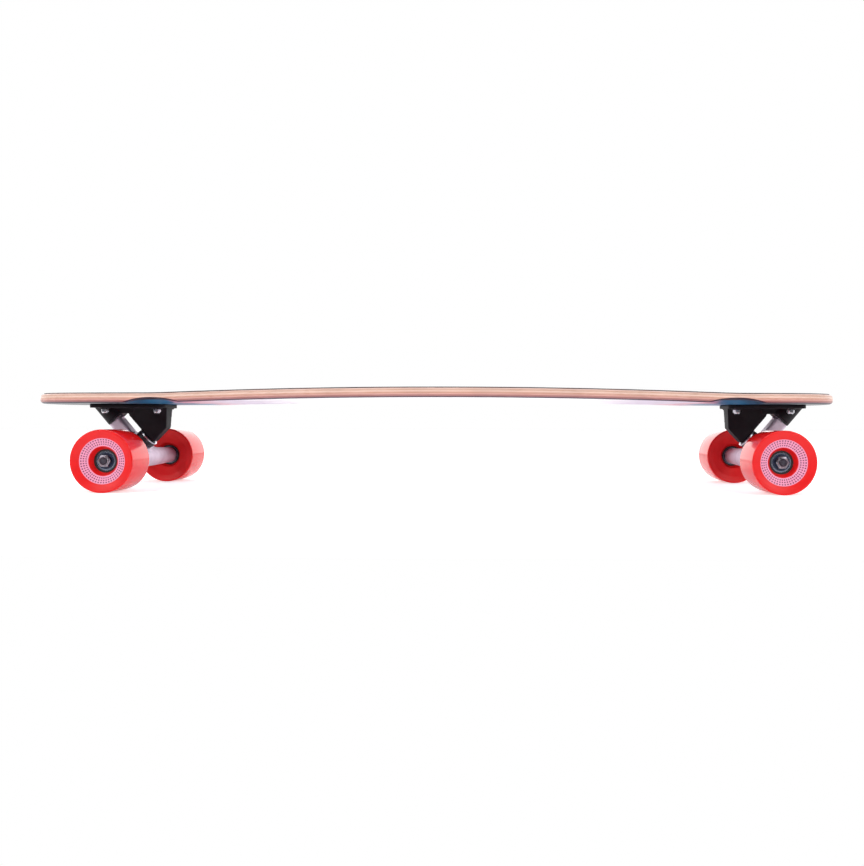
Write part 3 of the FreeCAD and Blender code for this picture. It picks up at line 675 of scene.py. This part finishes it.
class SKATEBOARD_OT_nuts(bpy.types.Operator):
    """Lock nuts with chamfered corners on the mounting bolts, axles and kingpins"""
    bl_idname = "skateboard.nuts"
    bl_label = "Nuts"

    def execute(self, context):
        # bright zinc on rolled steel: cool silver with a faint mottling
        zinc = zinc_plate("bright_zinc_plate")
        # the axle nuts' zinc is painted darker: painted shade standing in for the dark surroundings that
        # their flat faces reflect
        dull = speckled("shade_darkened_zinc_plate", {"Metallic": 1.0}, linear("#7C7A84"), linear("#A3A1AB"),
                        0.8, 5, (0.24, 0.38), 0.1)
        mounting = lock_nut("mounting_pattern", **MOUNTING_NUT)
        axle = lock_nut("axle_pattern", **AXLE_NUT)
        kingpin = lock_nut("kingpin_pattern", **KINGPIN_NUT)
        for end in ENDS:
            self.mounting_nuts(end, mounting, zinc)
            self.axle_nuts(end, axle, dull)
            road, _ = kingpin_line(end)
            nut = copy_of(kingpin, f"{end}_kingpin_lock_nut")
            seat = middle(f"{end}_kingpin_nut") - road * (KINGPIN_NUT["height"] / 2)
            aim(nut, road, (0, 1, 0), seat)
            finish(nut, zinc)
            stand_in(nut, "board", "hardware_steel", f"{end}_kingpin_nut")
        for pattern in (mounting, axle, kingpin):
            bpy.data.objects.remove(pattern)
        return {"FINISHED"}

    def mounting_nuts(self, end, pattern, material):
        low, high = (Vector(corner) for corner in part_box(f"{end}_mounting_nuts"))
        half_flat, half_corner = MOUNTING_NUT["flats"] / 2, MOUNTING_NUT["flats"] / math.sqrt(3)
        copies = []
        for x in (low.x + half_corner, high.x - half_corner):
            for y in (low.y + half_flat, high.y - half_flat):
                nut = copy_of(pattern, f"{end}_nut")
                aim(nut, (0, 0, -1), (0, 1, 0), (x, y, high.z))
                copies.append(nut)
        nuts = join(f"{end}_mounting_lock_nuts", copies)
        finish(nuts, material)
        stand_in(nuts, "board", "hardware_steel", f"{end}_mounting_nuts")

    def axle_nuts(self, end, pattern, material):
        low, high = (Vector(corner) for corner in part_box(f"{end}_axle_nuts"))
        centre = (low + high) / 2
        height = AXLE_NUT["height"]
        copies = []
        for outboard, y in ((1, high.y - height), (-1, low.y + height)):
            nut = copy_of(pattern, f"{end}_nut")
            aim(nut, (0, outboard, 0), (0, 0, 1), (centre.x, y, centre.z))
            copies.append(nut)
        nuts = join(f"{end}_axle_lock_nuts", copies)
        finish(nuts, material)
        stand_in(nuts, f"{end}_hanger_assembly", "hardware_steel", f"{end}_axle_nuts")


def zinc_plate(name):
    return speckled(name, {"Metallic": 1.0}, linear("#B4B2BA"), linear("#E2E0E7"),
                    0.8, 5, (0.2, 0.34), 0.1)


class SKATEBOARD_OT_fittings(bpy.types.Operator):
    """Finishes of the bolts, kingpins, axles, bearings, cores and cups"""
    bl_idname = "skateboard.fittings"
    bl_label = "Fittings"

    def execute(self, context):
        zinc = zinc_plate("zinc_plated_steel")
        # black oxide on a countersunk bolt: a dark, slightly oily steel
        oxide = speckled("black_oxide_steel", {"Metallic": 0.85}, linear("#1B1A1E"), linear("#2C2B31"),
                         0.7, 4, (0.3, 0.5), 0.15)
        # ground and superfinished chrome steel: close to a mirror, with fine scatter
        ground = speckled("ground_bearing_steel", {"Metallic": 1.0}, linear("#C4C4CB"), linear("#E2E2E8"),
                          0.5, 3, (0.1, 0.2), 0.05)
        # outer races stay dark from hardening, with a fine polish
        race = speckled("hardened_race_steel", {"Metallic": 1.0}, linear("#6C7486"), linear("#9299AA"),
                        0.5, 3, (0.16, 0.28), 0.05)
        # axle steel painted a dull dark grey-brown: painted shade for the axle's shadowed end inside the nut
        shade_darkened_axle = speckled("shade_darkened_axle_steel", {"Metallic": 0.8}, linear("#3B3540"), linear("#55505A"),
                            0.6, 4, (0.3, 0.45), 0.15)
        # moulded nitrile rubber on a steel shield: dark blue and satin
        rubber = speckled("nitrile_seal", {"IOR": 1.52}, linear("#16213A"), linear("#24345A"),
                          0.6, 3, (0.35, 0.5), 0.2)
        # injection-moulded glass-filled nylon: near black with a dry sheen
        core = speckled("glass_filled_nylon", {"IOR": 1.53}, linear("#120B0E"), linear("#20151A"),
                        0.6, 5, (0.42, 0.6), 0.3)
        # natural nylon: milky and waxy
        cage = speckled("natural_nylon", {"IOR": 1.53}, linear("#D6D0C0"), linear("#EAE5D8"),
                        0.5, 3, (0.35, 0.5), 0.1)
        # moulded black urethane of the pivot cups
        cup = speckled("pivot_cup_urethane", {"IOR": 1.5}, linear("#131317"), linear("#202026"),
                       0.6, 4, (0.4, 0.6), 0.2)
        finishes = {
            "mounting_bolts": oxide, "kingpin": zinc, "bushing_washers": zinc, "axle": shade_darkened_axle,
            "speed_washers": zinc, "bearing_spacers": ground, "inner_races": ground, "pivot_cup": cup,
        }
        wheel_finishes = {
            "core": core, "outer_races": race, "seals": rubber, "balls": ground, "cages": cage,
        }
        for end in ENDS:
            for name, material in finishes.items():
                finish(frame["nodes"][f"{end}_{name}"], material)
            for side in SIDES:
                for name, material in wheel_finishes.items():
                    finish(frame["nodes"][f"{end}_{side}_{name}"], material)
        return {"FINISHED"}


class SKATEBOARD_OT_stage(bpy.types.Operator):
    """Pale floor, soft studio light and the camera"""
    bl_idname = "skateboard.stage"
    bl_label = "Stage"

    def execute(self, context):
        scene = context.scene
        scene.view_settings.view_transform = "Standard"
        self.floor()
        self.sky(scene)
        for name, place, watts in (
                ("key_lamp", (-1.5, -1.6, 1.5), 33),
                ("fill_lamp", (1.6, -1.6, 1.4), 30),
                ("top_lamp", (0.1, 0.3, 2.1), 14)):
            self.lamp(name, place, watts)
        self.camera(scene)
        return {"FINISHED"}

    def floor(self):
        size, in_front = 9, 0.6
        deselect()
        bpy.ops.mesh.primitive_plane_add(size=size, location=(0, size / 2 - in_front, 0))
        floor = bpy.context.active_object
        floor.name = floor.data.name = "studio_floor"
        # matt white paper
        paper = speckled("matt_white_paper", {
            "IOR": 1.45, "Specular IOR Level": 0.1, "Emission Color": (1, 1, 1, 1),
        }, linear("#F4F4F4"), linear("#F8F8F8"), 2.0, 200, (0.8, 0.9), 0.05)
        # the paper is over-lit for the eye, and spills little light back on the board
        tree = paper.node_tree
        seen = add_node(tree, "ShaderNodeLightPath").outputs["Is Camera Ray"]
        glow = remap(tree, seen, end=(0.2, 0.5))
        tree.links.new(glow, tree.nodes["Principled BSDF"].inputs["Emission Strength"])
        finish(floor, paper)

    def sky(self, scene):
        """A white studio: brightest behind the board, dim in front of it, and white wherever it is seen."""
        world = bpy.data.worlds.new("white_studio")
        scene.world = world
        world.use_nodes = True
        tree = world.node_tree
        out = next(node for node in tree.nodes if node.type == "OUTPUT_WORLD")
        place = add_node(tree, "ShaderNodeTexCoord").outputs["Generated"]
        parts = add_node(tree, "ShaderNodeSeparateXYZ", {0: place}).outputs
        # the ceiling is dimmer than the backdrop
        tilt = calc(tree, "MULTIPLY_ADD", parts["Z"], -0.5, parts["Y"])
        back = remap(tree, tilt, (-0.7, 0.75), (0.04, 1.95), interpolation_type="SMOOTHSTEP")
        glow = add_node(tree, "ShaderNodeBackground", {"Color": (1, 1, 1, 1), "Strength": back}).outputs[0]
        white = add_node(tree, "ShaderNodeBackground", {"Color": (1, 1, 1, 1), "Strength": 1.0}).outputs[0]
        seen = add_node(tree, "ShaderNodeLightPath").outputs["Is Camera Ray"]
        mixed = add_node(tree, "ShaderNodeMixShader", {0: seen, 1: glow, 2: white}).outputs[0]
        tree.links.new(mixed, out.inputs["Surface"])

    def lamp(self, name, place, watts):
        lamp_size, aim_height = 1.8, 0.06
        deselect()
        bpy.ops.object.light_add(type="AREA", location=place)
        lamp = bpy.context.active_object
        lamp.name = lamp.data.name = name
        lamp.data.size = lamp_size
        lamp.data.energy = watts
        towards = Vector((0, 0, aim_height)) - Vector(place)
        lamp.rotation_euler = towards.to_track_quat("-Z", "Y").to_euler()

    def camera(self, scene):
        deselect()
        bpy.ops.object.camera_add(
            location=(67.0 * MM, -1135.7 * MM, 77.5 * MM),
            rotation=(math.radians(89.39), math.radians(-0.09), math.radians(1.34)))
        camera = bpy.context.active_object
        camera.name = camera.data.name = "studio_camera"
        camera.data.lens = 38.59
        camera.data.shift_x = -0.0411
        scene.camera = camera


class SKATEBOARD_PT_panel(bpy.types.Panel):
    bl_label = "Skateboard"
    bl_space_type = "VIEW_3D"
    bl_region_type = "UI"
    bl_category = "Skateboard"

    def draw(self, context):
        sizes, colours = settings_of(context)
        for group in (sizes, colours):
            for key in group.bl_rna.properties.keys():
                if key not in ("rna_type", "name"):
                    self.layout.prop(group, key)
        for operator in OPERATORS:
            self.layout.operator(operator.bl_idname)


GROUPS = (SkateboardSizes, SkateboardColours)
OPERATORS = (SKATEBOARD_OT_deck, SKATEBOARD_OT_wheels, SKATEBOARD_OT_trucks, SKATEBOARD_OT_bushings,
             SKATEBOARD_OT_nuts, SKATEBOARD_OT_fittings, SKATEBOARD_OT_stage)
CLASSES = GROUPS + OPERATORS + (SKATEBOARD_PT_panel,)


def register():
    for item in CLASSES:
        bpy.utils.register_class(item)
    bpy.types.Scene.skateboard_sizes = bpy.props.PointerProperty(type=SkateboardSizes)
    bpy.types.Scene.skateboard_colours = bpy.props.PointerProperty(type=SkateboardColours)


def unregister():
    del bpy.types.Scene.skateboard_sizes
    del bpy.types.Scene.skateboard_colours
    for item in reversed(CLASSES):
        bpy.utils.unregister_class(item)


def main():
    register()
    for operator in OPERATORS:
        group, name = operator.bl_idname.split(".")
        getattr(getattr(bpy.ops, group), name)()


if __name__ == "__main__":
    main()
